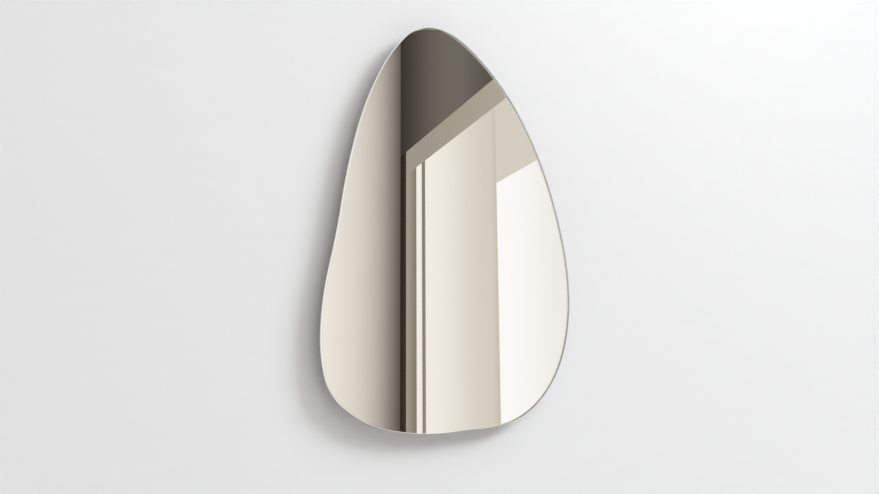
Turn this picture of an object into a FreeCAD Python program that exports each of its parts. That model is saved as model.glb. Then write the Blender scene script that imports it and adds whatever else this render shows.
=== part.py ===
# Irregular wall mirror: a frameless pane in a free, pear-like outline, bonded to a backboard and hung on
# two interlocking Z rails.
#
# Axes: X to the right as seen from the front, +Z up, the pane faces -Y and the wall is the plane Y = 0.
# Origin: on the wall, midway between the two holes of the wall rail.

import FreeCAD
import Part
import math
import os

# ---- Pane -------------------------------------------------------------------------------------------
GLASS_WIDTH = 490.0               # leftmost to rightmost point
GLASS_HEIGHT = 700.0              # lowest to highest point
GLASS_THICKNESS = 5.0
ARRIS = 0.6                       # small bevel on both rims of the polished edge
SILVER_THICKNESS = 0.1
PAINT_THICKNESS = 0.1
FILM_THICKNESS = 0.2
FILM_INSET = 3.0                  # the safety film stops short of the glass edge

# ---- Outline of the pane ------------------------------------------------------------------------------
# The edge is a closed chain of arcs that run smoothly into each other. It is given by the points that it
# passes, going round with the glass on the left-hand side: down the left, along the foot, up the right.
# A heading is the way the edge runs at a point, in degrees, with 0 to the right and 90 up.
TOP_FROM_LEFT = 209.0             # the highest point
LEFT_SHOULDER_FROM_LEFT = 101.0
LEFT_SHOULDER_FROM_TOP = 93.0
LEFT_SHOULDER_HEADING = 243.0
WAIST_FROM_LEFT = 31.0            # the left side draws in a little here
WAIST_FROM_FOOT = 364.0
WAIST_HEADING = 262.0
LEFT_SIDE_FROM_FOOT = 150.0       # the leftmost point
LOWER_LEFT_FROM_LEFT = 41.0
LOWER_LEFT_FROM_FOOT = 39.0
LOWER_LEFT_HEADING = 322.5
FOOT_FROM_LEFT = 189.0            # the lowest point
DIP_FROM_LEFT = 291.0             # the foot is very slightly hollow here
DIP_FROM_FOOT = 8.0
DIP_HEADING = 3.5
LOWER_RIGHT_FROM_RIGHT = 81.0
LOWER_RIGHT_FROM_FOOT = 49.0
LOWER_RIGHT_HEADING = 39.0
RIGHT_SIDE_FROM_FOOT = 244.0      # the rightmost point
RIGHT_FLANK_FROM_RIGHT = 38.0
RIGHT_FLANK_FROM_FOOT = 437.0
RIGHT_FLANK_HEADING = 109.5
RIGHT_SHOULDER_FROM_TIP = 81.0    # sideways from the highest point
RIGHT_SHOULDER_FROM_TOP = 32.0
RIGHT_SHOULDER_HEADING = 144.0
RIGHTWARD = 0.0
UPWARD = 90.0
LEFTWARD = 180.0
DOWNWARD = 270.0
STRAIGHT = 1e-9                   # below this the two headings of a stretch are the same

# ---- Bonding of pane and backboard --------------------------------------------------------------------
BOND_THICKNESS = 1.0              # foam tape and pressed adhesive
TAPE_WIDTH = 20.0
TAPE_EDGE_GAP = 8.0               # tape to the edge of the board
TAPE_END_GAP = 10.0               # a tape stops short of the points that it runs between
TOP_TAPE_LENGTH = 110.0
TOP_TAPE_FROM_TOP = 90.0          # its middle below the highest point
BEAD_WIDTH = 16.0
BEAD_PITCH = 75.0
BEAD_LENGTH = 380.0
BEAD_START = 120.0                # lower end of the beads above the lowest point

# ---- Backboard ----------------------------------------------------------------------------------------
BOARD_THICKNESS = 12.0
BOARD_INSET = 42.0                # from the edge of the glass
BOARD_BEVEL = 1.5                 # eased rim on the wall side

# ---- Z rails ------------------------------------------------------------------------------------------
RAIL_THICKNESS = 2.0
FLANGE_HEIGHT = 34.0
LIP_GAP = 4.4                     # back of the flange to the near face of the lip
LIP_RISE = 12.0                   # height of the lip above its web
HOOK_CLEARANCE = 0.3              # between the two lips
LIP_END_CLEARANCE = 0.5           # the hanging lip ends above the web of the wall rail
LEAD_IN = 0.5                     # bevel on the end of each lip
GROOVE_WIDTH = 0.8                # drilling line along the middle of each flange
GROOVE_DEPTH = 0.4
WALL_RAIL_LENGTH = 200.0
HANGING_RAIL_LENGTH = 240.0
RAIL_FROM_FOOT = 440.0            # holes of the wall rail above the lowest point of the pane
WALL_HOLE_SPACING = 160.0
WALL_HOLE_DIAMETER = 5.0
HANGING_SCREW_COUNT = 4
HANGING_SCREW_SPACING = 66.0

# ---- Lower spacers ------------------------------------------------------------------------------------
SPACER_DIAMETER = 40.0
SPACER_EDGE = 1.0                 # bevel on the rim at the wall side
SPACER_FROM_LEFT = 115.0          # the left one, from the leftmost point of the pane
SPACER_FROM_RIGHT = 125.0         # the right one, from the rightmost point
SPACER_FROM_FOOT = 95.0           # above the lowest point of the pane
PAD_DIAMETER = 33.0
PAD_THICKNESS = 3.0
PAD_PROUD = 2.0                   # how far the pad stands out of its recess
PAD_CLEARANCE = 0.3

# ---- Wood screws --------------------------------------------------------------------------------------
SCREW_DIAMETER = 3.4
SCREW_CLEARANCE = 0.3             # hole radius over screw radius, in rail and spacer
PILOT_CLEARANCE = 0.05            # the same in the board
POINT_LENGTH = 3.0
PAN_HEAD_DIAMETER = 7.0
PAN_HEAD_HEIGHT = 2.4
PAN_HEAD_BEVEL = 1.0
RAIL_SCREW_LENGTH = 11.0
COUNTERSUNK_HEAD_DIAMETER = 7.0
COUNTERSUNK_HEAD_HEIGHT = 2.0
HEAD_SINK = 0.2                   # countersunk head below the floor of the recess
SPACER_SCREW_LENGTH = 14.0
CROSS_LENGTH = 3.6
CROSS_WIDTH = 0.9
CROSS_DEPTH = 1.1

# ---- Where each layer lies, from the wall to the front --------------------------------------------------
STANDOFF = 2 * LIP_GAP - HOOK_CLEARANCE
BOARD_BACK = -STANDOFF
BOARD_FRONT = BOARD_BACK - BOARD_THICKNESS
FILM_BACK = BOARD_FRONT - BOND_THICKNESS
PAINT_BACK = FILM_BACK - FILM_THICKNESS
SILVER_BACK = PAINT_BACK - PAINT_THICKNESS
GLASS_BACK = SILVER_BACK - SILVER_THICKNESS
GLASS_FRONT = GLASS_BACK - GLASS_THICKNESS

WALL_LIP_TOP = FLANGE_HEIGHT / 2 + LIP_RISE
HANGING_FLANGE_MIDDLE = WALL_LIP_TOP + FLANGE_HEIGHT / 2
RAIL_FACE = BOARD_BACK + RAIL_THICKNESS      # face of the hanging flange that the screw heads sit on
SPACER_BACK = -PAD_PROUD
RECESS_FLOOR = -PAD_THICKNESS

ACROSS = FreeCAD.Vector(1, 0, 0)
DEPTH = FreeCAD.Vector(0, 1, 0)


# ---- Outline ------------------------------------------------------------------------------------------
def direction(heading):
    """Unit vector in the plane of the pane."""
    angle = math.radians(heading)
    return FreeCAD.Vector(math.cos(angle), 0, math.sin(angle))


def heading_of(vector):
    return math.degrees(math.atan2(vector.z, vector.x))


def inward(place, heading, inset):
    """The place moved into the glass, square to the edge."""
    return place + direction(heading + UPWARD) * inset


def edge_points():
    """The named points of the outline with their headings, from its leftmost and lowest points."""
    right_shoulder_x = TOP_FROM_LEFT + RIGHT_SHOULDER_FROM_TIP
    rows = {
        "top": (TOP_FROM_LEFT, GLASS_HEIGHT, LEFTWARD),
        "left_shoulder": (LEFT_SHOULDER_FROM_LEFT, GLASS_HEIGHT - LEFT_SHOULDER_FROM_TOP,
                          LEFT_SHOULDER_HEADING),
        "waist": (WAIST_FROM_LEFT, WAIST_FROM_FOOT, WAIST_HEADING),
        "left_side": (0.0, LEFT_SIDE_FROM_FOOT, DOWNWARD),
        "lower_left": (LOWER_LEFT_FROM_LEFT, LOWER_LEFT_FROM_FOOT, LOWER_LEFT_HEADING),
        "foot": (FOOT_FROM_LEFT, 0.0, RIGHTWARD),
        "dip": (DIP_FROM_LEFT, DIP_FROM_FOOT, DIP_HEADING),
        "lower_right": (GLASS_WIDTH - LOWER_RIGHT_FROM_RIGHT, LOWER_RIGHT_FROM_FOOT, LOWER_RIGHT_HEADING),
        "right_side": (GLASS_WIDTH, RIGHT_SIDE_FROM_FOOT, UPWARD),
        "right_flank": (GLASS_WIDTH - RIGHT_FLANK_FROM_RIGHT, RIGHT_FLANK_FROM_FOOT, RIGHT_FLANK_HEADING),
        "right_shoulder": (right_shoulder_x, GLASS_HEIGHT - RIGHT_SHOULDER_FROM_TOP, RIGHT_SHOULDER_HEADING),
    }
    return {name: (FreeCAD.Vector(x, 0, z), heading) for name, (x, z, heading) in rows.items()}


def joint_of_two_arcs(start, start_heading, end, end_heading):
    """Where two arcs meet that lead smoothly from one point and heading to the next."""
    chord = end - start
    leaving = direction(start_heading)
    arriving = direction(end_heading)
    along = chord.dot(leaving + arriving)
    turn = 1 - leaving.dot(arriving)
    if turn < STRAIGHT:
        reach = chord.dot(chord) / (2 * along)
    else:
        reach = (math.sqrt(along ** 2 + 2 * turn * chord.dot(chord)) - along) / (2 * turn)
    return (start + end + (leaving - arriving) * reach) * 0.5


def arc_stations(start, start_heading, end):
    """Start, middle and end of the arc that leaves the start on its heading, each with its own heading."""
    chord = end - start
    chord_heading = heading_of(chord)
    half_turn = math.radians((chord_heading - start_heading + 180) % 360 - 180)
    bulge = chord.Length / 2 * math.tan(half_turn / 2)
    middle = inward((start + end) * 0.5, chord_heading, -bulge)
    end_heading = start_heading + 2 * math.degrees(half_turn)
    return [(start, start_heading), (middle, chord_heading), (end, end_heading)]


def outline_arcs():
    """All arcs of the outline in order."""
    points = list(edge_points().values())
    arcs = []
    for (start, start_heading), (end, end_heading) in zip(points, points[1:] + points[:1]):
        joint = joint_of_two_arcs(start, start_heading, end, end_heading)
        first = arc_stations(start, start_heading, joint)
        arcs.append(first)
        arcs.append(arc_stations(joint, first[-1][1], end))
    return arcs


def outline_wire(inset, depth, origin):
    """The outline drawn in by an inset. Each arc keeps its centre, so the inset is even all round."""
    shift = DEPTH * depth - origin
    edges = []
    for stations in outline_arcs():
        places = [inward(place, heading, inset) + shift for place, heading in stations]
        edges.append(Part.Arc(*places).toShape())
    return Part.Wire(edges)


def find_origin():
    """The frame's origin, seen from the leftmost and lowest points: the rail hangs on the middle of weight."""
    pane = Part.Face(outline_wire(0, 0, FreeCAD.Vector()))
    return FreeCAD.Vector(pane.CenterOfMass.x, 0, RAIL_FROM_FOOT)


ORIGIN = find_origin()


def sheet(inset, back, thickness):
    """A flat layer with the pane's outline, drawn in by an inset."""
    face = Part.Face(outline_wire(inset, back, ORIGIN))
    return face.extrude(DEPTH * -thickness)


def on_board(name):
    """A named point of the outline, drawn in to the middle of the tape along the board's edge."""
    place, heading = edge_points()[name]
    return inward(place, heading, BOARD_INSET + TAPE_EDGE_GAP + TAPE_WIDTH / 2) - ORIGIN


# ---- Pane and its layers ------------------------------------------------------------------------------
def mirror_glass():
    """The pane with a flat polished edge between two arrises."""
    wires = [
        outline_wire(ARRIS, GLASS_FRONT, ORIGIN),
        outline_wire(0, GLASS_FRONT + ARRIS, ORIGIN),
        outline_wire(0, GLASS_BACK - ARRIS, ORIGIN),
        outline_wire(ARRIS, GLASS_BACK, ORIGIN),
    ]
    return Part.makeLoft(wires, True, True)


def silver_layer():
    return sheet(ARRIS, SILVER_BACK, SILVER_THICKNESS)


def back_paint():
    return sheet(ARRIS, PAINT_BACK, PAINT_THICKNESS)


def safety_film():
    return sheet(FILM_INSET, FILM_BACK, FILM_THICKNESS)


# ---- Bonding ------------------------------------------------------------------------------------------
def strip(middle, heading, length):
    """A strip of foam tape, turned to its heading."""
    corner = middle - direction(heading) * (length / 2) - direction(heading + UPWARD) * (TAPE_WIDTH / 2)
    tape = Part.makeBox(length, BOND_THICKNESS, TAPE_WIDTH)
    tape.rotate(FreeCAD.Vector(), DEPTH, -heading)
    tape.translate(FreeCAD.Vector(corner.x, FILM_BACK, corner.z))
    return tape


def edge_tape(first, second):
    """A tape along the board's edge between two named points."""
    start = on_board(first)
    end = on_board(second)
    chord = end - start
    return strip((start + end) * 0.5, heading_of(chord), chord.Length - 2 * TAPE_END_GAP)


def top_tape():
    middle = FreeCAD.Vector(TOP_FROM_LEFT, 0, GLASS_HEIGHT - TOP_TAPE_FROM_TOP) - ORIGIN
    return strip(middle, RIGHTWARD, TOP_TAPE_LENGTH)


def adhesive_bead(x):
    """An upright bead with round ends, pressed flat between film and board."""
    radius = BEAD_WIDTH / 2
    low = BEAD_START + radius - RAIL_FROM_FOOT
    high = low + BEAD_LENGTH - BEAD_WIDTH
    left, right = x - radius, x + radius
    edges = [
        Part.LineSegment(FreeCAD.Vector(right, 0, low), FreeCAD.Vector(right, 0, high)).toShape(),
        Part.Arc(FreeCAD.Vector(right, 0, high), FreeCAD.Vector(x, 0, high + radius),
                 FreeCAD.Vector(left, 0, high)).toShape(),
        Part.LineSegment(FreeCAD.Vector(left, 0, high), FreeCAD.Vector(left, 0, low)).toShape(),
        Part.Arc(FreeCAD.Vector(left, 0, low), FreeCAD.Vector(x, 0, low - radius),
                 FreeCAD.Vector(right, 0, low)).toShape(),
    ]
    bead = Part.Face(Part.Wire(edges)).extrude(DEPTH * BOND_THICKNESS)
    bead.translate(DEPTH * FILM_BACK)
    return bead


# ---- Screws -------------------------------------------------------------------------------------------
def hanging_screw_places():
    first = -HANGING_SCREW_SPACING * (HANGING_SCREW_COUNT - 1) / 2
    return [first + index * HANGING_SCREW_SPACING for index in range(HANGING_SCREW_COUNT)]


def spacer_places():
    return [SPACER_FROM_LEFT - ORIGIN.x, GLASS_WIDTH - SPACER_FROM_RIGHT - ORIGIN.x]


def turned(profile):
    """A turned piece from its half profile, given as pairs of radius and depth."""
    points = [FreeCAD.Vector(radius, depth, 0) for radius, depth in profile]
    face = Part.Face(Part.makePolygon(points + points[:1]))
    return face.revolve(FreeCAD.Vector(), DEPTH, 360)


def cross_recess(floor):
    """The tool for a cross recess that opens towards the wall."""
    bars = []
    for long_side, short_side in ((CROSS_LENGTH, CROSS_WIDTH), (CROSS_WIDTH, CROSS_LENGTH)):
        corner = FreeCAD.Vector(-long_side / 2, floor, -short_side / 2)
        bars.append(Part.makeBox(long_side, 2 * CROSS_DEPTH, short_side, corner))
    return bars[0].fuse(bars[1])


def pan_head_screw():
    """A screw whose head sits on the plane Y = 0 and whose point looks to the front."""
    radius = SCREW_DIAMETER / 2
    head_radius = PAN_HEAD_DIAMETER / 2
    screw = turned([
        (0, -RAIL_SCREW_LENGTH),
        (radius, POINT_LENGTH - RAIL_SCREW_LENGTH),
        (radius, 0),
        (head_radius, 0),
        (head_radius, PAN_HEAD_HEIGHT - PAN_HEAD_BEVEL),
        (head_radius - PAN_HEAD_BEVEL, PAN_HEAD_HEIGHT),
        (0, PAN_HEAD_HEIGHT),
    ])
    return screw.cut(cross_recess(PAN_HEAD_HEIGHT - CROSS_DEPTH))


def countersunk_screw():
    """A screw whose flat head lies in the plane Y = 0 and whose point looks to the front."""
    radius = SCREW_DIAMETER / 2
    head_radius = COUNTERSUNK_HEAD_DIAMETER / 2
    screw = turned([
        (0, 0),
        (0, -SPACER_SCREW_LENGTH),
        (radius, POINT_LENGTH - SPACER_SCREW_LENGTH),
        (radius, -COUNTERSUNK_HEAD_HEIGHT),
        (head_radius, 0),
    ])
    return screw.cut(cross_recess(-CROSS_DEPTH))


def screw_hole(x, z, clearance):
    """The tool for a round hole right through whatever lies at this place."""
    hole_radius = SCREW_DIAMETER / 2 + clearance
    return Part.makeCylinder(hole_radius, -GLASS_FRONT, FreeCAD.Vector(x, GLASS_FRONT, z), DEPTH)


def pilot_hole(x, z, depth):
    """The tool for a blind hole in the back of the board."""
    hole_radius = SCREW_DIAMETER / 2 + PILOT_CLEARANCE
    return Part.makeCylinder(hole_radius, depth, FreeCAD.Vector(x, BOARD_BACK - depth, z), DEPTH)


def hanging_rail_screws():
    screws = []
    for x in hanging_screw_places():
        screw = pan_head_screw()
        screw.translate(FreeCAD.Vector(x, RAIL_FACE, HANGING_FLANGE_MIDDLE))
        screws.append(screw)
    return Part.makeCompound(screws)


def spacer_screws():
    screws = []
    for x in spacer_places():
        screw = countersunk_screw()
        screw.translate(FreeCAD.Vector(x, RECESS_FLOOR - HEAD_SINK, SPACER_FROM_FOOT - RAIL_FROM_FOOT))
        screws.append(screw)
    return Part.makeCompound(screws)


# ---- Backboard ----------------------------------------------------------------------------------------
def backboard():
    """The board with its eased rim and the pilot holes for all screws."""
    wires = [
        outline_wire(BOARD_INSET, BOARD_FRONT, ORIGIN),
        outline_wire(BOARD_INSET, BOARD_BACK - BOARD_BEVEL, ORIGIN),
        outline_wire(BOARD_INSET + BOARD_BEVEL, BOARD_BACK, ORIGIN),
    ]
    board = Part.makeLoft(wires, True, True)
    rail_screw_depth = RAIL_SCREW_LENGTH - RAIL_THICKNESS + PILOT_CLEARANCE
    for x in hanging_screw_places():
        board = board.cut(pilot_hole(x, HANGING_FLANGE_MIDDLE, rail_screw_depth))
    spacer_screw_depth = SPACER_SCREW_LENGTH + HEAD_SINK + PILOT_CLEARANCE - (RECESS_FLOOR - BOARD_BACK)
    for x in spacer_places():
        board = board.cut(pilot_hole(x, SPACER_FROM_FOOT - RAIL_FROM_FOOT, spacer_screw_depth))
    return board


# ---- Rails --------------------------------------------------------------------------------------------
def z_rail(length, lip_length):
    """A Z profile with its flange on the wall, middle at the origin, and its lip pointing up in front."""
    half = FLANGE_HEIGHT / 2
    lip_front = -LIP_GAP - RAIL_THICKNESS
    profile = [
        (0, -half),
        (0, half),
        (-LIP_GAP, half),
        (-LIP_GAP, half + lip_length - LEAD_IN),
        (-LIP_GAP - LEAD_IN, half + lip_length),
        (lip_front, half + lip_length),
        (lip_front, half - RAIL_THICKNESS),
        (-RAIL_THICKNESS, half - RAIL_THICKNESS),
        (-RAIL_THICKNESS, GROOVE_WIDTH / 2),
        (GROOVE_DEPTH - RAIL_THICKNESS, 0),
        (-RAIL_THICKNESS, -GROOVE_WIDTH / 2),
        (-RAIL_THICKNESS, -half),
    ]
    points = [FreeCAD.Vector(-length / 2, y, z) for y, z in profile]
    return Part.Face(Part.makePolygon(points + points[:1])).extrude(ACROSS * length)


def wall_rail():
    """The rail on the wall, with its two screw holes."""
    rail = z_rail(WALL_RAIL_LENGTH, LIP_RISE)
    for x in (-WALL_HOLE_SPACING / 2, WALL_HOLE_SPACING / 2):
        corner = FreeCAD.Vector(x, -RAIL_THICKNESS, 0)
        rail = rail.cut(Part.makeCylinder(WALL_HOLE_DIAMETER / 2, RAIL_THICKNESS, corner, DEPTH))
    return rail


def hanging_rail():
    """The same profile turned over, on the back of the board, with its lip hooked behind the wall lip."""
    rail = z_rail(HANGING_RAIL_LENGTH, LIP_RISE - LIP_END_CLEARANCE)
    rail.rotate(FreeCAD.Vector(), ACROSS, 180)
    rail.translate(FreeCAD.Vector(0, BOARD_BACK, HANGING_FLANGE_MIDDLE))
    for x in hanging_screw_places():
        rail = rail.cut(screw_hole(x, HANGING_FLANGE_MIDDLE, SCREW_CLEARANCE))
    return rail


# ---- Lower spacers ------------------------------------------------------------------------------------
def lower_spacer(x):
    """A disc on the board with a recess for its pad and a countersunk hole."""
    radius = SPACER_DIAMETER / 2
    recess = PAD_DIAMETER / 2 + PAD_CLEARANCE
    hole = SCREW_DIAMETER / 2 + SCREW_CLEARANCE
    sink_radius = COUNTERSUNK_HEAD_DIAMETER / 2 + SCREW_CLEARANCE
    spacer = turned([
        (hole, BOARD_BACK),
        (radius, BOARD_BACK),
        (radius, SPACER_BACK - SPACER_EDGE),
        (radius - SPACER_EDGE, SPACER_BACK),
        (recess, SPACER_BACK),
        (recess, RECESS_FLOOR),
        (sink_radius, RECESS_FLOOR),
        (hole, RECESS_FLOOR - HEAD_SINK - COUNTERSUNK_HEAD_HEIGHT),
    ])
    spacer.translate(FreeCAD.Vector(x, 0, SPACER_FROM_FOOT - RAIL_FROM_FOOT))
    return spacer


def spacer_pad(x):
    """The pad in the recess of a spacer, which rests against the wall."""
    radius = PAD_DIAMETER / 2
    pad = turned([
        (0, RECESS_FLOOR),
        (radius, RECESS_FLOOR),
        (radius, 0),
        (0, 0),
    ])
    pad.translate(FreeCAD.Vector(x, 0, SPACER_FROM_FOOT - RAIL_FROM_FOOT))
    return pad


# ---- All pieces ---------------------------------------------------------------------------------------
def build_all():
    left, right = spacer_places()
    return {
        "mirror_glass": mirror_glass(),
        "silver_layer": silver_layer(),
        "back_paint": back_paint(),
        "safety_film": safety_film(),
        "tape_top": top_tape(),
        "tape_left": edge_tape("waist", "left_side"),
        "tape_bottom": edge_tape("foot", "dip"),
        "tape_right": edge_tape("right_side", "right_flank"),
        "adhesive_bead_left": adhesive_bead(-BEAD_PITCH),
        "adhesive_bead_centre": adhesive_bead(0),
        "adhesive_bead_right": adhesive_bead(BEAD_PITCH),
        "backboard": backboard(),
        "hanging_rail": hanging_rail(),
        "hanging_rail_screws": hanging_rail_screws(),
        "lower_spacer_left": lower_spacer(left),
        "lower_spacer_right": lower_spacer(right),
        "spacer_screws": spacer_screws(),
        "spacer_pad_left": spacer_pad(left),
        "spacer_pad_right": spacer_pad(right),
        "wall_rail": wall_rail(),
    }


os.makedirs("parts", exist_ok=True)
for name, shape in build_all().items():
    shape.exportStep(os.path.join("parts", name + ".step"))
    box = shape.BoundBox
    print(f"{name:22s} solids {len(shape.Solids)}  volume {shape.Volume / 1000:8.1f} cm3  "
          f"x {box.XMin:.1f} {box.XMax:.1f}  y {box.YMin:.2f} {box.YMax:.2f}  z {box.ZMin:.1f} {box.ZMax:.1f}")
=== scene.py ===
# %% [markdown]
# A wall mirror with a free, pear-like outline.
# The solids come from the CAD model and never move. This file gives every piece its finish, replaces the
# few clear, soft or threaded pieces that plain solids can't show, and sets up camera, light and stage.
# It reads like a notebook: each text cell says what a real piece is like and why it is made this way here.

# %% Load the frame
import math

import bmesh
import bpy
from mathutils import Matrix, Vector, noise


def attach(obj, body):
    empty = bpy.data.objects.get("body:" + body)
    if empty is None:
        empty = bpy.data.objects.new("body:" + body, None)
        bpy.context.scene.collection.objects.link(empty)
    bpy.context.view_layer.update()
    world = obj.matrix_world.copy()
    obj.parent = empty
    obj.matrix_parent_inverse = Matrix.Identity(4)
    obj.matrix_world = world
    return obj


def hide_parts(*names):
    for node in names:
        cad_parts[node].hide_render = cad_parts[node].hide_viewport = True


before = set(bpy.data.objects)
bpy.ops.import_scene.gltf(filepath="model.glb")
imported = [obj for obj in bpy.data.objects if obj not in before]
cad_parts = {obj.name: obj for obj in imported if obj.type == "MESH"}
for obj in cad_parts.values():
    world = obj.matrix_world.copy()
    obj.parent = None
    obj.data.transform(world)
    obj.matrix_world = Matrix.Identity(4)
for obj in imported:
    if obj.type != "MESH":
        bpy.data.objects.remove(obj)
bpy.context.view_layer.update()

scene = bpy.context.scene
scene.view_settings.view_transform = "Standard"
print("nodes loaded:", len(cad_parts))

# %% [markdown]
# Small helpers.
# A screen shows a colour as three numbers from 0 to 255, and Blender's shaders want light amounts, so tone()
# turns the first into the second. new_material() gives a fresh material and its shader, with those values
# that are the same all over the piece. Wiring in code is a list of "this output goes into that input", which
# link() says in one line, and wire() does it for several of the shader's inputs. grain() and spread() make
# most of the finishes below: a noise, and the range that it may move something through.

# %% Colour and material helpers
def tone(red, green, blue):
    """A screen colour, 0 to 255, as the linear colour that shaders use."""
    def linear(value):
        value = value / 255
        return value / 12.92 if value <= 0.04045 else ((value + 0.055) / 1.055) ** 2.4
    return (linear(red), linear(green), linear(blue), 1.0)


def new_material(name, **values):
    """A material, its node tree and its Principled shader, with values on sockets. _ stands for a space."""
    material = bpy.data.materials.new(name)
    material.use_nodes = True
    shader = material.node_tree.nodes["Principled BSDF"]
    for socket, value in values.items():
        shader.inputs[socket.replace("_", " ")].default_value = value
    return material, material.node_tree, shader


def add(tree, kind, **settings):
    """A node of a kind, with its properties set."""
    node = tree.nodes.new("ShaderNode" + kind)
    for key, value in settings.items():
        setattr(node, key, value)
    return node


def link(tree, output, target):
    tree.links.new(output, target)


def wire(tree, shader, **outputs):
    """Links outputs to a shader's sockets. _ stands for a space in their names."""
    for socket, output in outputs.items():
        link(tree, output, shader.inputs[socket.replace("_", " ")])


def object_place(tree, scale=(1, 1, 1)):
    """Coordinates in metres on the piece, stretched by a scale for each axis."""
    place = add(tree, "TexCoord")
    mapping = add(tree, "Mapping")
    mapping.inputs["Scale"].default_value = scale
    link(tree, place.outputs["Object"], mapping.inputs["Vector"])
    return mapping.outputs["Vector"]


def grain(tree, scale, detail=3.0, roughness=0.5, stretch=(1, 1, 1)):
    """A noise value from 0 to 1 at a scale, in grains for each metre, times a stretch for each axis."""
    vector = object_place(tree, stretch)
    texture = add(tree, "TexNoise")
    texture.inputs["Scale"].default_value = scale
    texture.inputs["Detail"].default_value = detail
    texture.inputs["Roughness"].default_value = roughness
    link(tree, vector, texture.inputs["Vector"])
    return texture.outputs["Fac"]


def spread(tree, value, low, high, start=0.0, end=1.0):
    """The value mapped from start..end to low..high."""
    ranger = add(tree, "MapRange")
    ranger.inputs["From Min"].default_value = start
    ranger.inputs["From Max"].default_value = end
    ranger.inputs["To Min"].default_value = low
    ranger.inputs["To Max"].default_value = high
    link(tree, value, ranger.inputs["Value"])
    return ranger.outputs["Result"]


def blend_colours(tree, factor, first, second):
    """A colour between two, each a red, green and blue part or an output."""
    mixer = add(tree, "Mix", data_type="RGBA")
    link(tree, factor, mixer.inputs["Factor"])
    for socket, value in (("A", first), ("B", second)):
        target = next(i for i in mixer.inputs if i.name == socket and i.type == "RGBA")
        if isinstance(value, tuple):
            target.default_value = (*value, 1.0)
        else:
            link(tree, value, target)
    return next(o for o in mixer.outputs if o.type == "RGBA")


def bump(tree, height, distance, strength=1.0, under=None):
    """A bump of a height in metres, on top of another one if given."""
    node = add(tree, "Bump")
    node.inputs["Distance"].default_value = distance
    node.inputs["Strength"].default_value = strength
    link(tree, height, node.inputs["Height"])
    if under is not None:
        link(tree, under, node.inputs["Normal"])
    return node.outputs["Normal"]


def math_node(tree, operation, first, second=None):
    """A sum, product or other operation on outputs or plain numbers."""
    node = add(tree, "Math", operation=operation)
    for socket, value in zip(node.inputs, (first, second)):
        if value is None:
            continue
        if isinstance(value, (int, float)):
            socket.default_value = value
        else:
            link(tree, value, socket)
    return node.outputs["Value"]


def dress(material, *names):
    """Gives a material to CAD nodes."""
    for name in names:
        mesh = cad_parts[name].data
        mesh.materials.clear()
        mesh.materials.append(material)
    print(material.name, "on", ", ".join(names))


# %% [markdown]
# The camera comes first, because everything else is judged through it.
# It stands to the left of the pane and a little below its middle, and looks up and to the right. So the pane
# is seen about 32 degrees from the side, which is what makes its outline look slimmer than it is.
# The lens is given for Blender's usual 36 mm wide sensor.

# %% Camera
CAMERA_PLACE = (-0.80248, -1.28989, -0.42579)
CAMERA_TURN = math.radians(31.492)      # to the right of straight at the wall
CAMERA_RISE = math.radians(11.215)      # above level
CAMERA_LENS = 36.86

camera_data = bpy.data.cameras.new("camera")
camera_data.lens = CAMERA_LENS
camera = bpy.data.objects.new("camera", camera_data)
camera.location = CAMERA_PLACE
camera.rotation_euler = (math.pi / 2 + CAMERA_RISE, 0, -CAMERA_TURN)
scene.collection.objects.link(camera)
scene.camera = camera
print("camera to wall:", -CAMERA_PLACE[1], "m")

# %% [markdown]
# The stage: a pale wall for the pane's soft shadow, and a pale floor.
# A real wall would hide the back of the mirror from behind, so this one lets through every ray that comes
# from its rear, and all that such a ray sets off later. Light Path's Transparent Depth counts those passes,
# so from the front the wall stays solid and its shadow dark. The floor lies 1.2 m below the pane, as for a
# mirror that hangs at head height.

# %% Wall and floor
WALL_BEHIND = 0.0004                    # a gap behind the rail's back, or the two would flicker
FLOOR_HEIGHT = -1.65
STAGE_REACH = 5.0
MOTTLE_GRAINS = 9.0                     # pale and dark patches for each metre
MOTTLE_SHADE = 0.975                    # a dark patch against a pale one


def flat_piece(name, corners, material):
    """A single flat face through its corners."""
    mesh = bpy.data.meshes.new(name)
    mesh.from_pydata(corners, [], [tuple(range(len(corners)))])
    mesh.materials.append(material)
    piece = bpy.data.objects.new(name, mesh)
    scene.collection.objects.link(piece)
    return piece


def plaster(name, colour, one_sided):
    """Matt paint with a very faint mottle. One-sided paint lets through what comes from its rear."""
    material, tree, shader = new_material(name, Roughness=0.9, Specular_IOR_Level=0.2)
    mottle = grain(tree, MOTTLE_GRAINS, 4.0, stretch=(1, 1, 6))
    shade = tuple(part * MOTTLE_SHADE for part in colour)
    wire(tree, shader, Base_Color=blend_colours(tree, mottle, shade, colour))
    if one_sided:
        rear = add(tree, "NewGeometry").outputs["Backfacing"]
        passes = add(tree, "LightPath").outputs["Transparent Depth"]
        passed = math_node(tree, "GREATER_THAN", passes, 0.5)
        passing = math_node(tree, "MAXIMUM", rear, passed)
        mixer = add(tree, "MixShader")
        clear = add(tree, "BsdfTransparent")
        link(tree, passing, mixer.inputs[0])
        link(tree, shader.outputs[0], mixer.inputs[1])
        link(tree, clear.outputs[0], mixer.inputs[2])
        link(tree, mixer.outputs[0], tree.nodes["Material Output"].inputs["Surface"])
    return material


wall_paint = plaster("wall_paint", (0.86, 0.859, 0.857), True)
floor_paint = plaster("floor_paint", (0.82, 0.815, 0.805), False)
low, far = -STAGE_REACH, STAGE_REACH
wall = flat_piece("stage_wall", [(low, WALL_BEHIND, FLOOR_HEIGHT), (far, WALL_BEHIND, FLOOR_HEIGHT),
                                 (far, WALL_BEHIND, far), (low, WALL_BEHIND, far)], wall_paint)
flat_piece("stage_floor", [(low, low, FLOOR_HEIGHT), (far, low, FLOOR_HEIGHT),
                           (far, far, FLOOR_HEIGHT), (low, far, FLOOR_HEIGHT)], floor_paint)
print("wall normal:", tuple(round(part) for part in wall.data.polygons[0].normal))

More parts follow.
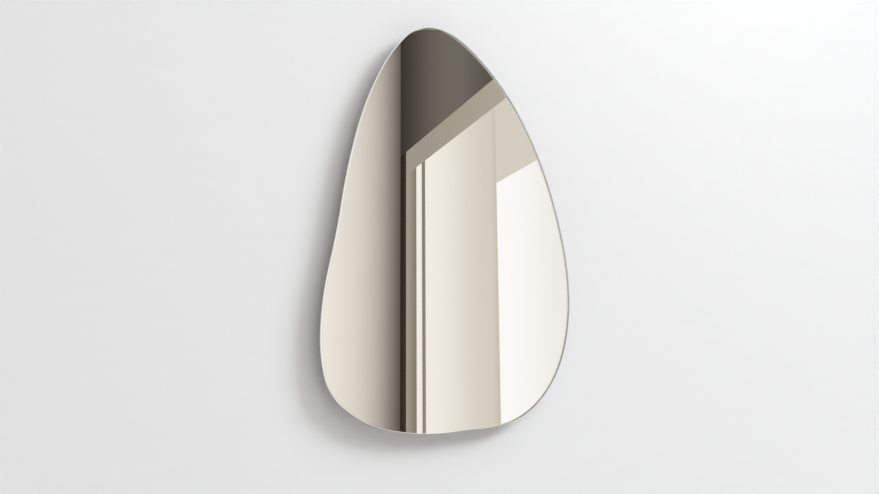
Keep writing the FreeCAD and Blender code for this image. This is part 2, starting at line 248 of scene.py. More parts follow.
# %% [markdown]
# A mirror has no colour of its own: it shows what stands opposite it, so plain surroundings alone would
# leave it blank. A studio puts tall plain boards there, called flats, out of the camera's sight, and hangs
# tilted ones, called flags, above them. Here they stand side by side in one plane: cream that falls into
# shade, a dark gap, sand, white, fawn, linen and near white, with a taupe and a clay flag on top. They glow
# in their own tone, and only reflections see them, so they throw no light on wall or object.

# %% Flats opposite the pane
FLATS_AWAY = -2.6
FLATS_LOW = -1.6
FLATS_HIGH = 4.0
FLATS_LEFT = -6.0
FLATS_RIGHT = 7.0
LAYER = 0.002                           # the boards overlap, and each layer stands this much nearer
FLAT_LEAN = 0.008                       # sideways for each metre up
SENT_BACK = 0.955                       # the share of light that glass and silver send back


def glow(name, tones, start=0.0, end=1.0):
    """A glowing tone, or a soft run of tones evenly spaced between two places sideways."""
    material, tree, shader = new_material(name)
    tree.nodes.remove(shader)
    light = add(tree, "Emission")
    light.inputs["Strength"].default_value = 1 / SENT_BACK
    parts = add(tree, "SeparateXYZ")
    link(tree, add(tree, "TexCoord").outputs["Object"], parts.inputs[0])
    ramp_node = add(tree, "ValToRGB")
    ramp = ramp_node.color_ramp
    ramp.interpolation = "EASE" if len(tones) == 2 else "B_SPLINE"
    while len(ramp.elements) < len(tones):
        ramp.elements.new(0.5)
    for number, value in enumerate(tones):
        ramp.elements[number].position = number / (len(tones) - 1)
        ramp.elements[number].color = tone(*value)
    link(tree, spread(tree, parts.outputs["X"], 0, 1, start, end), ramp_node.inputs["Fac"])
    link(tree, ramp_node.outputs["Color"], light.inputs["Color"])
    link(tree, light.outputs[0], tree.nodes["Material Output"].inputs["Surface"])
    return material


def flat_board(name, corners, material, layer):
    """A flat with corners given sideways and up. Only reflections see it."""
    away = FLATS_AWAY + LAYER * layer
    board = flat_piece(name, [(x - FLAT_LEAN * z, away, z) for x, z in corners], material)
    board.visible_camera = False
    board.visible_diffuse = False
    board.visible_shadow = False
    board.visible_volume_scatter = False


CREAM_SHADE = 0.90                      # where cream starts to fall into shade
CREAM_EDGE = 1.320                      # where each flat ends, from the left
GAP_EDGE = 1.355
SAND_EDGE = 1.418
WHITE_EDGE = 1.450
FAWN_EDGE = 1.470
LINEN_EDGE = 1.865
SHADE_EDGE = 1.915


def upright_flat(name, left, right, layer, tones, start=None, end=None):
    """A flat between two places sideways. Its tones run from start to end, or else right across it."""
    paint = glow(name + "_glow", tones, left if start is None else start, right if end is None else end)
    corners = [(left, FLATS_LOW), (right, FLATS_LOW), (right, FLATS_HIGH), (left, FLATS_HIGH)]
    flat_board("flat_" + name, corners, paint, layer)


upright_flat("linen", FAWN_EDGE, FLATS_RIGHT, 0, [(240, 236, 227), (212, 205, 192)], end=LINEN_EDGE)
upright_flat("shade", LINEN_EDGE, SHADE_EDGE, 1, [(212, 205, 192), (199, 192, 178)])
upright_flat("fawn", WHITE_EDGE, FAWN_EDGE, 1, [(130, 122, 111), (146, 138, 127)])
upright_flat("white", SAND_EDGE, WHITE_EDGE, 1, [(243, 238, 227), (239, 233, 222)])
upright_flat("sand", GAP_EDGE, SAND_EDGE, 1, [(162, 154, 139), (132, 124, 111)])
upright_flat("gap", CREAM_EDGE, GAP_EDGE, 4, [(42, 38, 32), (58, 53, 44)])
upright_flat("cream", FLATS_LEFT, CREAM_EDGE, 6, [(237, 231, 222), (226, 221, 210), (213, 207, 196),
                                                  (176, 168, 156), (58, 52, 44)], start=CREAM_SHADE)
print("flats stand", -FLATS_AWAY, "m in front of the wall")

# %% [markdown]
# The other three boards have a sloping edge, given by its corner and its rise for each metre sideways. Their
# tones run from the corner to a place further right, and stay the same beyond it.

# %% Sloping flats
FLAGS_RIGHT = 4.0
PALE_CORNER, PALE_SLOPE, PALE_END = (SHADE_EDGE, 0.855), 0.62, 2.45
CLAY_CORNER, CLAY_SLOPE, CLAY_END = (GAP_EDGE, 0.815), 0.845, 2.20
TAUPE_CORNER, TAUPE_SLOPE, TAUPE_END = (CREAM_EDGE, 0.905), 0.92, 1.85


def sloping_height(corner, slope, x):
    return corner[1] + slope * (x - corner[0])


def flag(name, corner, slope, end, layer, tones):
    """A board whose lower edge rises to the right from its corner."""
    high = sloping_height(corner, slope, FLAGS_RIGHT)
    flat_board("flag_" + name, [corner, (FLAGS_RIGHT, high), (corner[0], high)],
               glow(name + "_glow", tones, corner[0], end), layer)


pale = glow("pale_glow", [(250, 249, 246), (235, 233, 228)], SHADE_EDGE, PALE_END)
pale_right = (FLATS_RIGHT, sloping_height(PALE_CORNER, PALE_SLOPE, FLATS_RIGHT))
flat_board("flat_pale", [(SHADE_EDGE, FLATS_LOW), (FLATS_RIGHT, FLATS_LOW), pale_right, PALE_CORNER], pale, 2)
flag("clay", CLAY_CORNER, CLAY_SLOPE, CLAY_END, 2, [(158, 150, 136), (176, 167, 152)])
flag("taupe", TAUPE_CORNER, TAUPE_SLOPE, TAUPE_END, 5,
     [(44, 39, 32), (103, 97, 88), (115, 110, 101), (83, 77, 69)])
print("the pale flat rises to", pale_right[1], "m")

# %% [markdown]
# Light. A large soft lamp stands far off to the upper right and throws the wide, faint part of the shadow
# to the lower left. A long strip lamp above the camera adds the narrow, darker part close to the pane. A
# small one washes the wall above the pane, and an even sky gives about two fifths of the light. The sky is
# slightly warm and the lamps slightly cool, so the shadow is warmer than the wall, and together they bring
# white paint out just under white. A lamp behind the wall lights the back of the mirror for rear views.
# Lamps would show as bright squares in the pane, so reflections don't see them.

# %% Lamps
def soft_lamp(name, place, target, width, height, power, colour):
    """A rectangular lamp that faces its target."""
    data = bpy.data.lights.new(name, "AREA")
    data.shape = "RECTANGLE"
    data.size = width
    data.size_y = height
    data.energy = power
    data.color = colour
    lamp = bpy.data.objects.new(name, data)
    lamp.location = place
    lamp.rotation_euler = (Vector(target) - Vector(place)).to_track_quat("-Z", "Y").to_euler()
    lamp.visible_camera = False
    lamp.visible_glossy = False
    lamp.visible_transmission = False
    scene.collection.objects.link(lamp)


COOL, NEUTRAL = (0.985, 1.02, 1.10), (1.0, 1.0, 1.0)
LAMPS = {                               # name: place, target, width, height, watts, colour
    "key_lamp": ((11.7, -7.8, 9.5), (0, 0, 0), 6.5, 4.7, 1690, COOL),
    "strip_lamp": ((1.4, -4.0, 3.0), (0, 0, 0), 8.2, 1.6, 74, COOL),
    "wash_lamp": ((0.6, -0.9, 1.5), (0.55, 0, 0.5), 0.9, 0.9, 6.5, NEUTRAL),
    "rear_lamp": ((-1.4, 2.6, 1.6), (0, 0, -0.1), 2.4, 2.4, 90, NEUTRAL),
}
for lamp_name, settings in LAMPS.items():
    soft_lamp(lamp_name, *settings)
print("lamps:", ", ".join(LAMPS))

# %% [markdown]
# The sky is asked twice. Rays that light a surface find a dim, warm sky, and rays that look at it, straight
# or through glass or off metal, find a bright neutral one, as a white studio looks. Light Path tells the
# two apart.

# %% Sky
SKY_LIGHT = 0.33
SKY_SEEN = 0.93
WARM_SKY = (1.0, 0.945, 0.83)
WHITE_SKY = (1.0, 0.998, 0.99)
world = bpy.data.worlds.new("studio")
scene.world = world
world.use_nodes = True
sky = world.node_tree
rays = add(sky, "LightPath")
seen = math_node(sky, "MAXIMUM", rays.outputs["Is Camera Ray"], rays.outputs["Is Glossy Ray"])
seen = math_node(sky, "MAXIMUM", seen, rays.outputs["Is Transmission Ray"])
background = sky.nodes["Background"]
link(sky, blend_colours(sky, seen, WARM_SKY, WHITE_SKY), background.inputs["Color"])
link(sky, spread(sky, seen, SKY_LIGHT, SKY_SEEN), background.inputs["Strength"])
print("sky light", SKY_LIGHT, "sky seen", SKY_SEEN)

# %% [markdown]
# The pane is 5 mm float glass. Its faces are clear, with a roller wave too slight to see except in long
# straight reflections. Its edge is ground and polished by hand round the free outline, which leaves a small
# arris at the back and a rounder one in front. That round front acts as a lens and shows as a bright line.
# The CAD pane has two plain arrises and an outline in short straight steps, so a finer pane stands for it:
# the steps' corners lie exactly on the outline, and a smooth curve runs through them.

# %% Mesh helpers
def make_object(name, points, faces):
    mesh = bpy.data.meshes.new(name)
    mesh.from_pydata(points, [], faces)
    mesh.validate()
    piece = bpy.data.objects.new(name, mesh)
    scene.collection.objects.link(piece)
    return piece


def outwards(piece):
    """All faces of a closed mesh look outwards."""
    work = bmesh.new()
    work.from_mesh(piece.data)
    bmesh.ops.recalc_face_normals(work, faces=work.faces)
    work.to_mesh(piece.data)
    work.free()


# %% [markdown]
# To follow the outline, the pane's own front face is asked for its rim: an edge that only one of its faces
# uses lies on the rim, and such edges link up into a ring. A smooth curve then runs through the ring's
# points. Its slope at each point is that of the two spans beside it, which is how a bent batten would lie.
# The way outwards at a point is square to the curve.

# %% The outline as a smooth ring
CAD_ARRIS = 0.0006                      # the solid's face ends this far inside its outline
RING_STEP = 0.003
FORWARD = -0.95                         # a face whose normal points this far along Y looks to the front


def face_ring(name):
    """The rim of a CAD node's forward face, as a ring of points in order."""
    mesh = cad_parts[name].data
    spot = {}
    same = [spot.setdefault(tuple(round(part, 6) for part in v.co), v.index) for v in mesh.vertices]
    uses = {}
    for face in mesh.polygons:
        if face.normal.y < FORWARD:
            corners = [same[index] for index in face.vertices]
            for edge in zip(corners, corners[1:] + corners[:1]):
                uses[tuple(sorted(edge))] = uses.get(tuple(sorted(edge)), 0) + 1
    beside = {}
    for first, second in (edge for edge, count in uses.items() if count == 1):
        beside.setdefault(first, []).append(second)
        beside.setdefault(second, []).append(first)
    ring = [min(beside)]
    ring.append(beside[ring[0]][0])
    while len(ring) < len(beside):
        ring.append(next(index for index in beside[ring[-1]] if index != ring[-2]))
    return [mesh.vertices[index].co.copy() for index in ring]


def smooth_ring(ring):
    """Points on a smooth closed curve through the ring, each with its outward direction."""
    count = len(ring)
    spans = [(ring[(i + 1) % count] - ring[i]).length for i in range(count)]
    slopes = []
    for i in range(count):
        before, after = spans[i - 1], spans[i]
        rise = (ring[i] - ring[i - 1]) * (after / before)
        rise += (ring[(i + 1) % count] - ring[i]) * (before / after)
        slopes.append(rise / (before + after))
    points = []
    for i in range(count):
        start, end, span = ring[i], ring[(i + 1) % count], spans[i]
        steps = max(1, round(span / RING_STEP))
        for step in range(steps):
            t = step / steps
            points.append(start * (2 * t ** 3 - 3 * t ** 2 + 1) + end * (3 * t ** 2 - 2 * t ** 3)
                          + slopes[i] * span * (t ** 3 - 2 * t ** 2 + t)
                          + slopes[(i + 1) % count] * span * (t ** 3 - t ** 2))
    around = sum(a.x * b.z - b.x * a.z for a, b in zip(points, points[1:] + points[:1]))
    turn = 1 if around > 0 else -1
    outward = []
    for i in range(len(points)):
        along = points[(i + 1) % len(points)] - points[i - 1]
        outward.append(Vector((along.z, 0, -along.x)).normalized() * turn)
    return points, outward


pane_ring, pane_outward = smooth_ring(face_ring("mirror_glass"))
print("points round the pane:", len(pane_ring))

# %% [markdown]
# A pane guides light: what enters at one edge runs between face and silver and leaves at the other, which
# is why glass edges look bright. Here most light comes from the right, so the left edge shines. A renderer
# gives such a ray up after a dozen bounces and calls it black, so a faint glow where the edge looks to the
# left stands for the light that would arrive.

# %% Clear glass and its polished edge
GLASS_BEND = 1.52                       # how strongly glass bends light, its IOR
GUIDED_LIGHT = 0.55
GLOW_FULL, GLOW_ENDS = -0.95, -0.5      # the normal's X part where the glow is full, and where it ends


def clear_glass():
    material, tree, shader = new_material("clear_float_glass", Base_Color=(0.990, 0.992, 0.989, 1.0),
                                          Transmission_Weight=1.0, Roughness=0.0, IOR=GLASS_BEND)
    roller_wave = grain(tree, 5.0, 1.0)
    wire(tree, shader, Normal=bump(tree, roller_wave, 0.00003))
    return material


def polished_edge():
    material, tree, shader = new_material("polished_glass_edge", Base_Color=(0.95, 0.99, 0.97, 1.0),
                                          Transmission_Weight=1.0, IOR=GLASS_BEND,
                                          Emission_Color=(0.93, 0.95, 0.92, 1.0))
    lines = grain(tree, 1.0, stretch=(40, 4000, 40))
    surface = add(tree, "NewGeometry")
    parts = add(tree, "SeparateXYZ")
    link(tree, surface.outputs["Normal"], parts.inputs[0])
    to_left = spread(tree, parts.outputs["X"], GUIDED_LIGHT, 0.0, GLOW_FULL, GLOW_ENDS)
    outside = spread(tree, surface.outputs["Backfacing"], 1.0, 0.0)
    wire(tree, shader, Roughness=spread(tree, lines, 0.04, 0.16), Normal=bump(tree, lines, 0.000004),
         Emission_Strength=math_node(tree, "MULTIPLY", to_left, outside))
    return material


# %% [markdown]
# The pane itself is a stack of rings, one for each step of the edge's profile, joined by bands of faces and
# closed by a flat face in front and one behind. The two flat faces stay flat shaded and the bands smooth.
# Their common rims are marked sharp, because smooth shading across them would bend the reflection.

# %% The pane
GLASS_FRONT = -0.0269
EDGE_PROFILE = [                        # how far in from the outline, and how far behind the front, in mm
    (1.6, 0.0), (1.3, 0.05), (0.95, 0.2), (0.6, 0.48), (0.32, 0.88), (0.13, 1.4), (0.03, 2.0), (0.0, 2.7),
    (0.0, 4.1), (0.06, 4.5), (0.25, 4.8), (0.6, 5.0)]


def pane():
    count = len(pane_ring)
    points, faces = [], []
    for inset, depth in EDGE_PROFILE:
        reach = CAD_ARRIS - inset / 1000
        for spot, outward in zip(pane_ring, pane_outward):
            place = spot + outward * reach
            points.append((place.x, GLASS_FRONT + depth / 1000, place.z))
    for ring in range(len(EDGE_PROFILE) - 1):
        low, high = ring * count, (ring + 1) * count
        faces += [(low + i, low + (i + 1) % count, high + (i + 1) % count, high + i) for i in range(count)]
    faces.append(tuple(range(count)))
    faces.append(tuple(range(len(points) - count, len(points))))
    glass = make_object("glass_pane", points, faces)
    outwards(glass)
    mesh = glass.data
    mesh.materials.append(clear_glass())
    mesh.materials.append(polished_edge())
    for face in mesh.polygons:
        flat = len(face.vertices) > 4
        face.use_smooth = not flat
        face.material_index = 0 if flat else 1
    rims = {tuple(sorted((low + i, low + (i + 1) % count)))
            for low in (0, len(points) - count) for i in range(count)}
    for edge in mesh.edges:
        edge.use_edge_sharp = tuple(sorted(edge.vertices)) in rims
    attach(glass, "mirror")
    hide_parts("mirror_glass")
    dress(mesh.materials[0], "mirror_glass")
    print("pane:", len(mesh.polygons), "faces")


pane()

# %% [markdown]
# Behind the glass lie the silver, the paint that keeps damp off it, and a woven film that holds the pieces
# if the pane breaks. The silver makes the picture. It is put down so thin that its bright face is the back
# of the glass itself, while two surfaces in one plane would flicker, so a Displace modifier lets it reach
# 0.03 mm into the glass.

# %% Silver
SILVER_REACH = 0.00003


def silver():
    material, tree, shader = new_material("silver", Metallic=1.0, Roughness=0.0)
    film = grain(tree, 14.0, 2.0)
    wire(tree, shader, Base_Color=blend_colours(tree, film, (0.970, 0.966, 0.961), (0.977, 0.973, 0.968)))
    return material


dress(silver(), "silver_layer")
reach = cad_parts["silver_layer"].modifiers.new("into_the_glass", "DISPLACE")
reach.strength = SILVER_REACH
reach.mid_level = 0.0
print("silver reaches", SILVER_REACH * 1000, "mm into the glass")

# %% [markdown]
# Mirror paint is poured over the silver as a curtain and baked. It is a dull grey-green with the soft dimples
# of orange peel and weak streaks along the way it ran. Only a narrow rim of it shows beyond the film.

# %% Back paint
def back_paint():
    material, tree, shader = new_material("mirror_back_paint")
    streaks = grain(tree, 1.0, 2.0, stretch=(6, 1, 90))
    peel = grain(tree, 700.0, 1.0)
    wire(tree, shader, Base_Color=blend_colours(tree, streaks, (0.135, 0.160, 0.148), (0.185, 0.210, 0.196)),
         Roughness=spread(tree, peel, 0.38, 0.55), Normal=bump(tree, peel, 0.00004))
    return material


dress(back_paint(), "back_paint")

# %% [markdown]
# The safety film is woven from flat white tapes about 2.5 mm wide, laminated onto the paint. A weave can be
# built from two sets of ribbons: each rises and dips as a sine along its length, neighbours take turns, and
# at every spot the higher one is seen. That height gives the bump, and the low spots between ribbons are
# greyer, since the paint shows through there.

# %% Safety film
RIBBON = 0.0025


def ribbon_height(tree, across, along):
    """Height of one set of ribbons, 0 to 1, from both coordinates in ribbon widths."""
    index = math_node(tree, "FLOOR", across)
    place = math_node(tree, "FRACT", across)
    side = math_node(tree, "SINE", math_node(tree, "MULTIPLY", place, math.pi))
    edge = math_node(tree, "POWER", side, 0.35)
    turn = math_node(tree, "MULTIPLY", math_node(tree, "ADD", along, index), math.pi)
    wave = spread(tree, math_node(tree, "SINE", turn), 0.25, 1.0, -1.0, 1.0)
    return math_node(tree, "MULTIPLY", edge, wave)


def woven_film():
    material, tree, shader = new_material("woven_safety_film")
    parts = add(tree, "SeparateXYZ")
    link(tree, object_place(tree, (1 / RIBBON, 1, 1 / RIBBON)), parts.inputs[0])
    upright = ribbon_height(tree, parts.outputs["X"], parts.outputs["Z"])
    level = ribbon_height(tree, parts.outputs["Z"], math_node(tree, "ADD", parts.outputs["X"], 1.0))
    height = math_node(tree, "MAXIMUM", upright, level)
    blotch = grain(tree, 25.0)
    ribbons = blend_colours(tree, blotch, (0.70, 0.72, 0.73), (0.80, 0.815, 0.82))
    gaps = spread(tree, height, 1.0, 0.0, 0.25, 0.75)
    wire(tree, shader, Base_Color=blend_colours(tree, gaps, ribbons, (0.36, 0.40, 0.40)),
         Roughness=spread(tree, height, 0.55, 0.33), Normal=bump(tree, height, 0.00012))
    return material


dress(woven_film(), "safety_film")

# %% [markdown]
# The backboard is 12 mm fibreboard, sawn and routed to the pane's outline. Its faces are pressed smooth and
# speckled with pale and dark fibres. The routed edge is browner and furrier, and darker near both faces,
# where the board is pressed denser. So the material asks which way the surface looks, and mixes a face with
# an edge.

# %% Fibreboard
BOARD_FRONT, BOARD_BACK = -0.0205, -0.0085


def facing(tree, axis):
    """How far the surface looks along an axis, 0 to 1."""
    parts = add(tree, "SeparateXYZ")
    link(tree, add(tree, "NewGeometry").outputs["Normal"], parts.inputs[0])
    return math_node(tree, "ABSOLUTE", parts.outputs[axis])


def fibreboard():
    material, tree, shader = new_material("fibreboard", Specular_IOR_Level=0.3)
    flour = grain(tree, 1600.0, 3.0, 0.7)
    fibres = grain(tree, 1.0, 3.0, 0.65, stretch=(900, 900, 260))
    clouds = grain(tree, 18.0)
    speckle = spread(tree, fibres, 0, 1, 0.32, 0.68)
    face = blend_colours(tree, speckle, (0.335, 0.215, 0.122), (0.50, 0.355, 0.225))
    face = blend_colours(tree, spread(tree, flour, 0, 0.55, 0.52, 0.66), face, (0.62, 0.47, 0.32))
    face = blend_colours(tree, spread(tree, clouds, 0, 0.22), face, (0.30, 0.19, 0.11))
    depth = add(tree, "SeparateXYZ")
    link(tree, add(tree, "TexCoord").outputs["Object"], depth.inputs[0])
    middle = (BOARD_FRONT + BOARD_BACK) / 2
    off_middle = math_node(tree, "ABSOLUTE", math_node(tree, "SUBTRACT", depth.outputs["Y"], middle))
    dense = spread(tree, off_middle, 0, 1, 0.0025, 0.006)
    edge = blend_colours(tree, dense, (0.36, 0.225, 0.125), (0.235, 0.135, 0.07))
    edge = blend_colours(tree, spread(tree, fibres, 0, 0.6, 0.4, 0.7), edge, (0.42, 0.28, 0.17))
    is_face = spread(tree, facing(tree, "Y"), 0, 1, 0.75, 0.9)
    fur = math_node(tree, "MULTIPLY", fibres, spread(tree, is_face, 1.0, 0.15))
    wire(tree, shader, Base_Color=blend_colours(tree, is_face, edge, face),
         Roughness=spread(tree, is_face, 0.92, 0.68),
         Normal=bump(tree, flour, 0.00003, under=bump(tree, fur, 0.0002)))
    return material


dress(fibreboard(), "backboard")

# %% [markdown]
# Both rails are cut from one extruded aluminium profile. Extrusion leaves fine lines along the rail, and
# the saw leaves coarser ones across its ends. Noise stretched a thousand times along X gives the first, and
# for the ends, which look along X, the same noise stretched the other way gives the second. A Bevel
# modifier breaks the sharp corners by 0.2 mm, as the press and a file do, so that they catch light.

# %% Aluminium rails
RAIL_CORNER = 0.0002
SHARP = math.radians(40)                # edges that turn by more than this are rounded


def soften_corners(width, *names):
    """A small rounding on every sharp edge of a CAD node."""
    for name in names:
        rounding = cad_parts[name].modifiers.new("broken_corners", "BEVEL")
        rounding.width = width
        rounding.segments = 2
        rounding.limit_method = "ANGLE"
        rounding.angle_limit = SHARP
        rounding.harden_normals = True


def mill_aluminium():
    material, tree, shader = new_material("mill_finish_aluminium", Metallic=1.0)
    drawn = grain(tree, 1.0, 3.0, 0.6, stretch=(3, 3200, 3200))
    sawn = grain(tree, 1.0, 2.0, stretch=(1, 2600, 90))
    is_end = spread(tree, facing(tree, "X"), 0, 1, 0.8, 0.9)
    smudge = spread(tree, grain(tree, 45.0), 0.0, 0.14, 0.45, 0.7)
    shine = math_node(tree, "ADD", spread(tree, drawn, 0.22, 0.40), smudge)
    bright = blend_colours(tree, drawn, (0.50, 0.51, 0.525), (0.71, 0.715, 0.725))
    cut = blend_colours(tree, sawn, (0.46, 0.465, 0.475), (0.76, 0.76, 0.77))
    cut_height = math_node(tree, "MULTIPLY", sawn, is_end)
    wire(tree, shader, Base_Color=blend_colours(tree, is_end, bright, cut),
         Roughness=math_node(tree, "ADD", shine, spread(tree, is_end, 0.0, 0.16)),
         Normal=bump(tree, cut_height, 0.00005, under=bump(tree, drawn, 0.000008)))
    return material


dress(mill_aluminium(), "hanging_rail", "wall_rail")
soften_corners(RAIL_CORNER, "hanging_rail", "wall_rail")
print("rail corners broken by", RAIL_CORNER * 1000, "mm")

# %% [markdown]
# The spacers are moulded black plastic with the fine spark-eroded grain that hides fingerprints. The grain is
# a bump of half a tenth of a millimetre, and the plastic shines a little more where its peaks are worn.

# %% Moulded spacers
SPACER_CORNER = 0.0004
SPACER_HEIGHT = -0.345
SPACER_LEFT, SPACER_RIGHT = -0.1254, 0.1246


def moulded_black():
    material, tree, shader = new_material("grained_black_plastic")
    pits = grain(tree, 2400.0, 2.0, 0.6)
    haze = grain(tree, 60.0)
    wire(tree, shader, Base_Color=blend_colours(tree, haze, (0.022, 0.022, 0.024), (0.036, 0.036, 0.038)),
         Roughness=spread(tree, pits, 0.62, 0.42, 0.35, 0.65), Normal=bump(tree, pits, 0.00005))
    return material


dress(moulded_black(), "lower_spacer_left", "lower_spacer_right")
soften_corners(SPACER_CORNER, "lower_spacer_left", "lower_spacer_right")
print("spacers at", SPACER_LEFT, "and", SPACER_RIGHT, "m")

# %% [markdown]
# The screws hold rail and spacers to the board. A wood screw is a turned body with a helical thread, and
# its head has a cross recess that narrows with depth. Both come from mesh code: a profile is turned round
# the axis, two tapered bars are cut out of the head with a Boolean, and the thread is a small wedge swept
# along a helix that fades at both ends. The CAD screw is a plain peg of the same size, so this piece stands
# for it.

# %% Turned bodies and meshes
def turned(profile, segments):
    """Points and faces of a closed body round the Y axis. The profile's ends lie on the axis."""
    points = [(0, profile[0][1], 0)]
    for radius, height in profile[1:-1]:
        for step in range(segments):
            angle = 2 * math.pi * step / segments
            points.append((radius * math.cos(angle), height, radius * math.sin(angle)))
    points.append((0, profile[-1][1], 0))
    last = len(points) - 1
    rings = len(profile) - 2
    faces = []
    for step in range(segments):
        after = (step + 1) % segments
        faces.append((0, 1 + after, 1 + step))
        for ring in range(rings - 1):
            low, high = 1 + ring * segments, 1 + (ring + 1) * segments
            faces.append((low + step, low + after, high + after, high + step))
        top = 1 + (rings - 1) * segments
        faces.append((last, top + step, top + after))
    return points, faces


def round_off(piece, degrees=35):
    """Smooth shading that stops at edges sharper than an angle."""
    piece.data.polygons.foreach_set("use_smooth", [True] * len(piece.data.polygons))
    piece.data.set_sharp_from_angle(angle=math.radians(degrees))


def frozen(piece):
    """The piece's mesh with its modifiers worked in."""
    ready = piece.evaluated_get(bpy.context.evaluated_depsgraph_get())
    mesh = bpy.data.meshes.new_from_object(ready)
    piece.modifiers.clear()
    piece.data = mesh


# %% [markdown]
# A screw is made once on the Y axis, copied to each place, and turned differently at each, because no two
# screws stop with their crosses the same way. Each bar is cut at once and the result kept as plain mesh, so
# that nothing depends on the bars afterwards.

# %% One screw
TURN_STEPS = 40
THREAD_PITCH = 0.0016
THREAD_CREST = 0.00195
CORE = 0.00135
RECESS_SPAN, RECESS_WIDTH, RECESS_DEPTH = 0.0036, 0.0009, 0.0011
RECESS_FOOT = 0.62                      # the recess's span at its bottom, as a share of that at the top
THREAD_STEPS = 20                       # in one turn
THREAD_HALF = 0.00042                   # half the width of the thread at its root
THREAD_ROOT = 0.9                       # where its wedge starts inside the core, as a share of the radius
FADE_TURNS, SLIM_TURNS = 2.0, 2.2       # at the tip the thread fades and the core slims over these turns
HAIR = 0.00002                          # keeps the thread's wedge from closing up where it fades out


def tapered_bar(top, turn):
    """A bar that narrows downwards, to cut one slot of a cross recess."""
    points = []
    across, around = math.cos(turn), math.sin(turn)
    for height, share in ((top + 0.0002, 1.05), (top - RECESS_DEPTH, RECESS_FOOT)):
        span, width = RECESS_SPAN / 2 * share, RECESS_WIDTH / 2 * (0.4 + 0.6 * share)
        for x, z in ((-span, -width), (span, -width), (span, width), (-span, width)):
            points.append((x * across - z * around, height, x * around + z * across))
    faces = [(3, 2, 1, 0), (4, 5, 6, 7)] + [(i, (i + 1) % 4, 4 + (i + 1) % 4, 4 + i) for i in range(4)]
    bar = make_object("recess_bar", points, faces)
    outwards(bar)
    return bar


def thread(start, end):
    """A wedge swept along a helix from start down to end."""
    turns = (start - end) / THREAD_PITCH
    steps = round(turns * THREAD_STEPS)
    points, faces = [], []
    for step in range(steps + 1):
        share = step / steps
        angle = 2 * math.pi * turns * share
        height = start + (end - start) * share
        fade = min(1.0, share * turns, (1 - share) * turns / FADE_TURNS)
        slim = min(1.0, (1 - share) * turns / SLIM_TURNS)
        root = CORE * slim * THREAD_ROOT
        crest = root + (THREAD_CREST - CORE * THREAD_ROOT) * fade + HAIR / 2
        half = THREAD_HALF * fade + HAIR
        for radius, lift in ((root, half), (crest, 0.0), (root, -half)):
            points.append((radius * math.cos(angle), height + lift, radius * math.sin(angle)))
    for step in range(steps):
        low, high = step * 3, step * 3 + 3
        for side in range(3):
            after = (side + 1) % 3
            faces.append((low + side, low + after, high + after, high + side))
    faces += [(2, 1, 0), (steps * 3, steps * 3 + 1, steps * 3 + 2)]
    return points, faces


def screw(name, profile, head_top, thread_start, thread_end):
    """One screw on the Y axis, with its head towards +Y."""
    body = make_object(name, *turned(profile, TURN_STEPS))
    outwards(body)
    for turn in (0.0, math.pi / 2):
        bar = tapered_bar(head_top, turn)
        cut = body.modifiers.new("recess", "BOOLEAN")
        cut.operation = "DIFFERENCE"
        cut.solver = "EXACT"
        cut.object = bar
        frozen(body)
        bpy.data.objects.remove(bar)
    helix = make_object(name + "_thread", *thread(thread_start, thread_end))
    outwards(helix)
    work = bmesh.new()
    work.from_mesh(body.data)
    work.from_mesh(helix.data)
    bmesh.ops.recalc_face_normals(work, faces=work.faces)
    work.to_mesh(body.data)
    work.free()
    bpy.data.objects.remove(helix)
    return body


# %% Sets of screws
FIRST_TURN, NEXT_TURN = 0.4, 1.1


def screw_set(name, node, pattern, places, material):
    """Copies of one screw, each turned as it happened to stop, joined in one piece for the node."""
    work = bmesh.new()
    for number, place in enumerate(places):
        one = pattern.data.copy()
        turn = Matrix.Rotation(FIRST_TURN + NEXT_TURN * number, 4, "Y")
        one.transform(Matrix.Translation(place) @ turn)
        work.from_mesh(one)
        bpy.data.meshes.remove(one)
    mesh = bpy.data.meshes.new(name)
    work.to_mesh(mesh)
    work.free()
    mesh.materials.append(material)
    piece = bpy.data.objects.new(name, mesh)
    scene.collection.objects.link(piece)
    bpy.data.objects.remove(pattern)
    round_off(piece)
    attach(piece, "mirror")
    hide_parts(node)
    print(name, len(mesh.polygons), "faces")


def zinc():
    material, tree, shader = new_material("zinc_plate", Metallic=1.0)
    fog = grain(tree, 600.0)
    hue = grain(tree, 260.0, 1.0)
    wire(tree, shader, Base_Color=blend_colours(tree, hue, (0.40, 0.43, 0.48), (0.56, 0.56, 0.535)),
         Roughness=spread(tree, fog, 0.22, 0.42), Normal=bump(tree, fog, 0.00001))
    return material


# %% [markdown]
# The profiles go from the top of the head down to the tip, as radius and height over the head's seat in
# metres. The pan head is domed. The countersunk one is a flat disc over a cone, and its top lies in the
# spacer's recess.

# %% Both kinds of screw
PAN_HEAD_TOP = 0.0024
RAIL_FACE = -0.0065
RAIL_SCREW_HEIGHT = 0.046
RAIL_SCREWS = (-0.099, -0.033, 0.033, 0.099)
SUNK_HEAD_TOP = -0.0032

